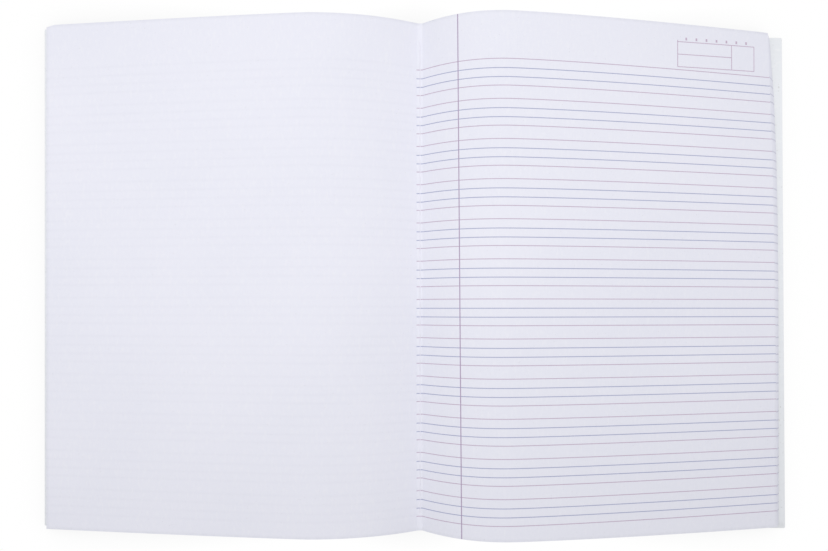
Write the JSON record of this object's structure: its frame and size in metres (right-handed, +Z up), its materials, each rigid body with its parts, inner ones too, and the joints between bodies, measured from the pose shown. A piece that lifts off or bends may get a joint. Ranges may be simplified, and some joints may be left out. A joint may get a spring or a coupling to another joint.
{
  "type": "open composition notebook",
  "caption": "Open thread-sewn notebook with a soft card cover: arched plain left page, four-line ruled right page, and two cover panels that fold back at their creases.",
  "frame": {"origin": "on the surface the open notebook lies on, at the middle of its footprint, under the middle of the spine strip", "axes": "+X across the spread towards the right page's outer edge, +Y towards the head of the pages, +Z up"},
  "size_m": [0.3614, 0.2432, 0.024],
  "materials": {
    "writing_paper": "matt",
    "cover_card": "matt",
    "white_thread": "matt"
  },
  "bodies": {
    "pages": {"page_block": "writing_paper", "cover_spine": "cover_card", "seam_thread": "white_thread"},
    "front_panel": {"front_cover": "cover_card"},
    "back_panel": {"back_cover": "cover_card"}
  },
  "joints": [
    {"name": "front_cover_crease", "type": "hinge", "parent": "pages", "child": "front_panel", "pos_m": [-0.0041, 0, 0], "axis": [0, -1, 0], "range_deg": [0, 90]},
    {"name": "back_cover_crease", "type": "hinge", "parent": "pages", "child": "back_panel", "pos_m": [0.0041, 0, 0], "axis": [0, 1, 0], "range_deg": [0, 90]}
  ]
}
